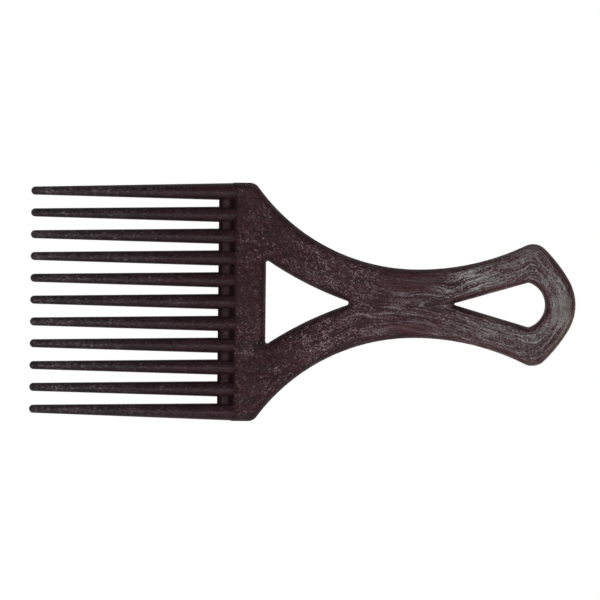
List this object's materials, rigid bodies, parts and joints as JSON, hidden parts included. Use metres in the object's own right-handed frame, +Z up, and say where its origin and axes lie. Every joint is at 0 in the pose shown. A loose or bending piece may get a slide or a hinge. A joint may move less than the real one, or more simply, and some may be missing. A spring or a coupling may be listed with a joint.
{
  "type": "afro pick",
  "caption": "Wide-tooth afro pick in dark wood-look moulded plastic: long tapered teeth on a head bar, a three-sided window, and a waisted grip that ends in a hanging loop.",
  "frame": {"origin": "under the middle of the pick's length and width, on the surface it lies on", "axes": "+X from the tooth tips to the hanging loop, +Y across the teeth, +Z up through the thickness"},
  "size_m": [0.175, 0.0764, 0.0058],
  "materials": {
    "moulding": "satin, dark wood-look plastic with pale fibres"
  },
  "bodies": {
    "root": {"tooth_01": "moulding", "tooth_02": "moulding", "tooth_03": "moulding", "tooth_04": "moulding", "tooth_05": "moulding", "tooth_06": "moulding", "tooth_07": "moulding", "tooth_08": "moulding", "tooth_09": "moulding", "tooth_10": "moulding", "tooth_11": "moulding", "web_01": "moulding", "web_02": "moulding", "web_03": "moulding", "web_04": "moulding", "web_05": "moulding", "web_06": "moulding", "web_07": "moulding", "web_08": "moulding", "web_09": "moulding", "web_10": "moulding", "head_bar": "moulding", "upper_arm": "moulding", "lower_arm": "moulding", "grip": "moulding", "hanging_loop": "moulding"}
  },
  "joints": []
}
